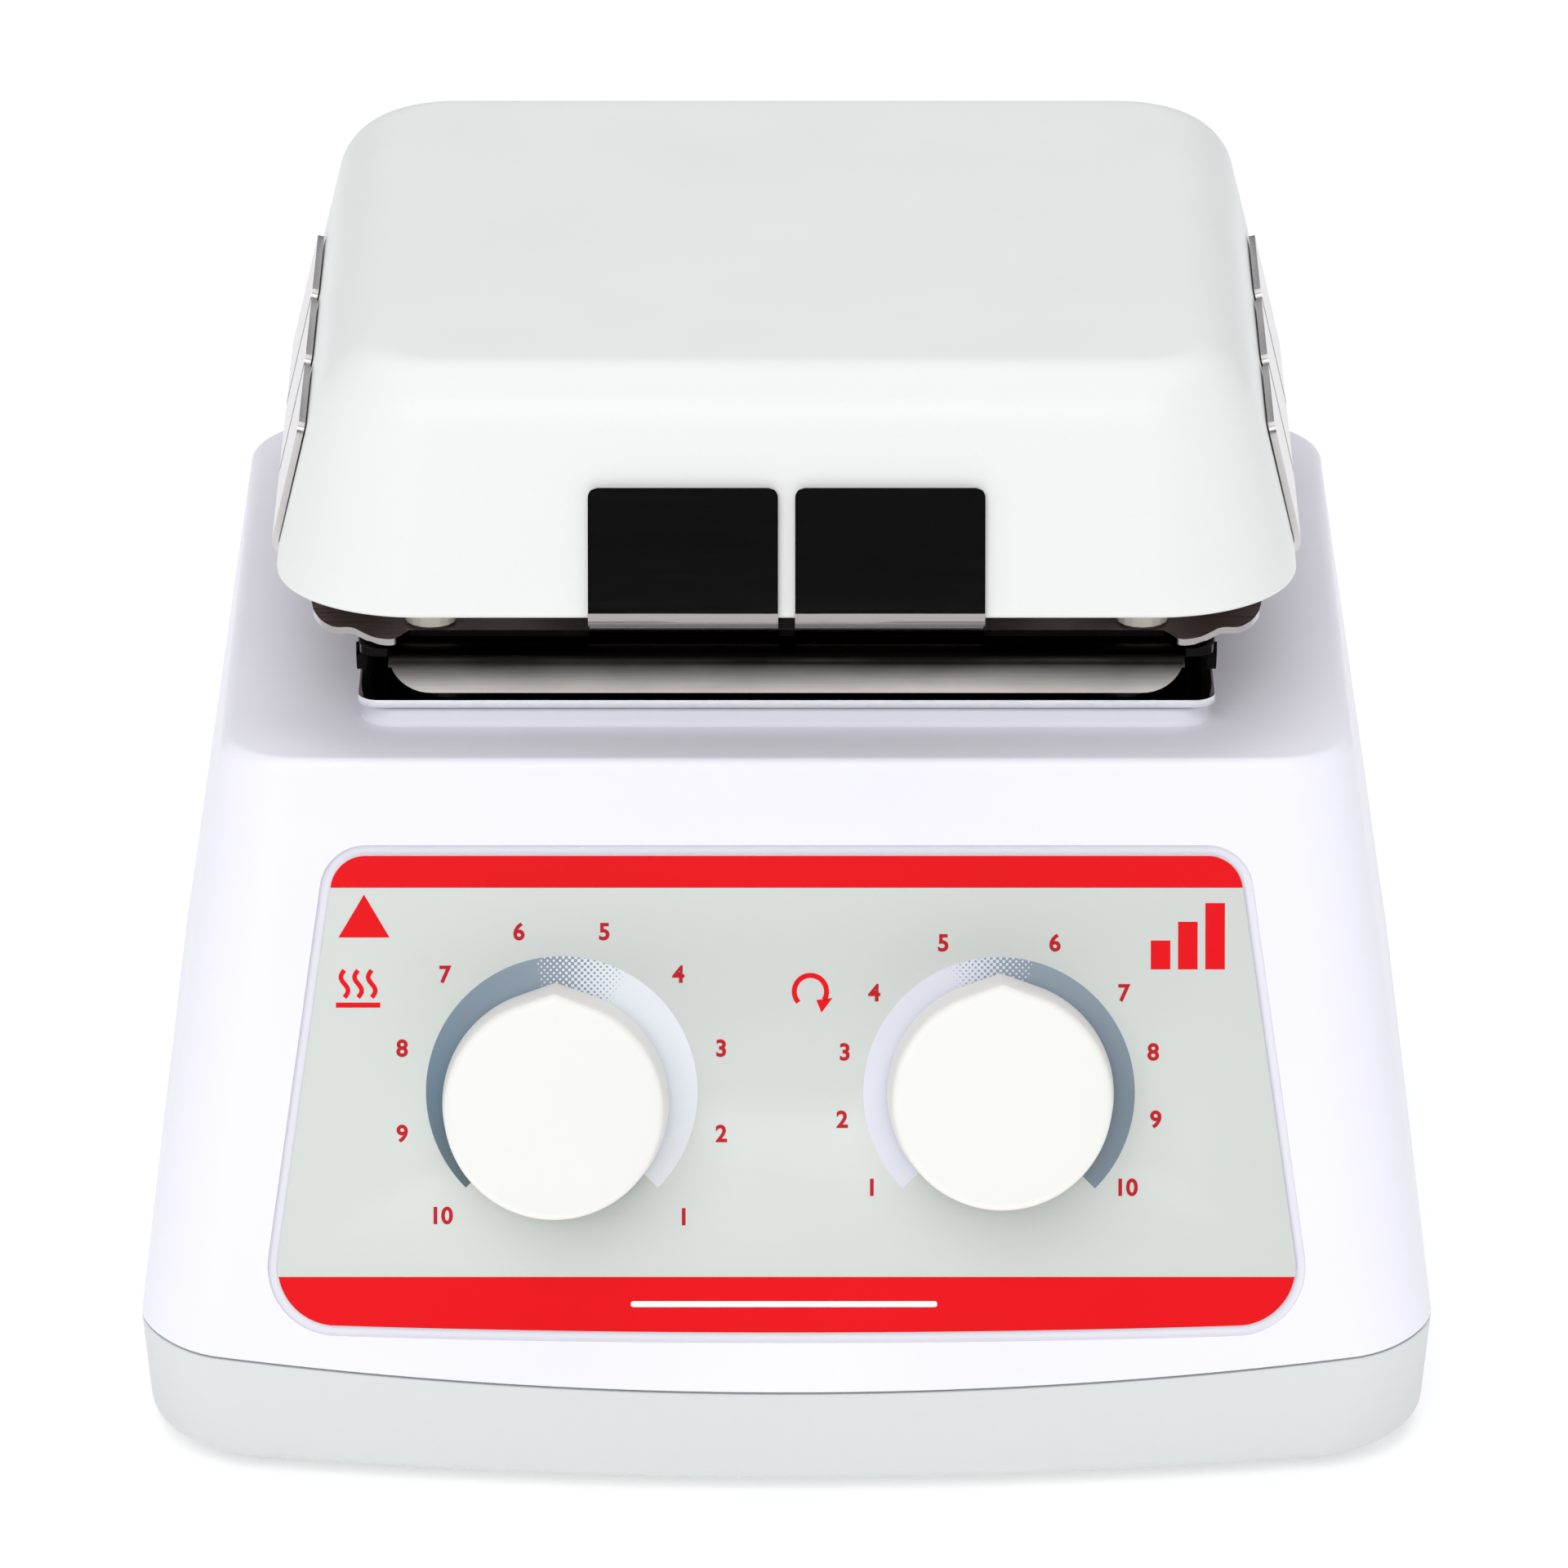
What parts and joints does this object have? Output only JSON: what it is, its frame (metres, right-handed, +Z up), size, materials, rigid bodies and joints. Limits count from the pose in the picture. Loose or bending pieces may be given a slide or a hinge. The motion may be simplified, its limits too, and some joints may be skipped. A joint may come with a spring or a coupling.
{
  "type": "hotplate stirrer",
  "caption": "Compact bench hotplate stirrer: sloped control panel with two pointer dials, steel heat shields and a square glazed ceramic top over a magnet rotor.",
  "frame": {"origin": "middle of the object on the surface it stands on, under the feet", "axes": "+Z up along the stirring axis, -Y out of the control panel, +X to the right of someone who faces the panel"},
  "size_m": [0.1524, 0.1562, 0.1299],
  "materials": {
    "housing_white": "satin",
    "base_grey": "matte",
    "overlay_grey": "satin",
    "knob_white": "satin",
    "glazed_ceramic": "gloss",
    "stainless_steel": "polished",
    "zinc_steel": "satin",
    "aluminium": "satin",
    "black_rubber": "matte",
    "black_plastic": "matte",
    "board_green": "satin",
    "ceramic_fibre": "matte",
    "steatite": "matte",
    "mica_heater": "matte",
    "ferrite": "matte",
    "brass": "satin",
    "transformer_copper": "satin",
    "fuse_glass": "gloss",
    "lead_sleeve": "matte"
  },
  "bodies": {
    "housing": {"bottom_shell": "base_grey", "upper_housing": "housing_white", "control_overlay": "overlay_grey", "reflector_plate": "stainless_steel", "heat_shield_pan": "stainless_steel", "clip_tray": "stainless_steel", "ceramic_top": "glazed_ceramic", "heating_element": "mica_heater", "insulation_pad": "ceramic_fibre", "heater_retainer_plate": "aluminium", "temperature_probe": "zinc_steel", "heater_lead_left": "lead_sleeve", "heater_lead_right": "lead_sleeve", "motor_can": "zinc_steel", "motor_bracket": "zinc_steel", "motor_grommet_left": "black_rubber", "motor_grommet_right": "black_rubber", "motor_bearing": "brass", "control_board": "board_green", "transformer_core": "zinc_steel", "transformer_coil": "transformer_copper", "relay": "black_plastic", "terminal_block": "board_green", "filter_capacitor": "black_plastic", "triac_heatsink": "aluminium", "power_inlet": "black_plastic", "inlet_screw_left": "zinc_steel", "inlet_screw_right": "zinc_steel", "rubber_foot_front_left": "black_rubber", "housing_screw_front_left": "zinc_steel", "standoff_front_left": "zinc_steel", "ceramic_spacer_front_left": "steatite", "rubber_foot_rear_left": "black_rubber", "housing_screw_rear_left": "zinc_steel", "standoff_rear_left": "zinc_steel", "ceramic_spacer_rear_left": "steatite", "rubber_foot_front_right": "black_rubber", "housing_screw_front_right": "zinc_steel", "standoff_front_right": "zinc_steel", "ceramic_spacer_front_right": "steatite", "rubber_foot_rear_right": "black_rubber", "housing_screw_rear_right": "zinc_steel", "standoff_rear_right": "zinc_steel", "ceramic_spacer_rear_right": "steatite", "heat_pot_body": "zinc_steel", "heat_pot_nut": "brass", "stir_pot_body": "zinc_steel", "stir_pot_nut": "brass"},
    "heat_dial": {"heat_knob": "knob_white", "heat_pot_shaft": "aluminium"},
    "stir_dial": {"stir_knob": "knob_white", "stir_pot_shaft": "aluminium"},
    "magnet_rotor": {"motor_shaft": "zinc_steel", "magnet_yoke": "zinc_steel", "magnet_north": "ferrite", "magnet_south": "ferrite"},
    "drawer": {"fuse_drawer": "black_plastic", "fuse_live": "fuse_glass", "fuse_spare": "fuse_glass"}
  },
  "joints": [
    {"name": "heat_knob_turn", "type": "hinge", "parent": "housing", "child": "heat_dial", "pos_m": [-0.0271, -0.06112, 0.04622], "axis": [0, -0.9483, 0.3173], "range_deg": [-135, 135]},
    {"name": "stir_knob_turn", "type": "hinge", "parent": "housing", "child": "stir_dial", "pos_m": [0.0251, -0.06078, 0.04727], "axis": [0, -0.9483, 0.3173], "range_deg": [-135, 135]},
    {"name": "rotor_spin", "type": "hinge", "parent": "housing", "child": "magnet_rotor", "pos_m": [0, 0.01216, 0.1025], "axis": [0, 0, 1], "continuous": true},
    {"name": "drawer_slide", "type": "slide", "parent": "housing", "child": "drawer", "axis": [0, 1, 0], "range_m": [0, 0.015]}
  ]
}
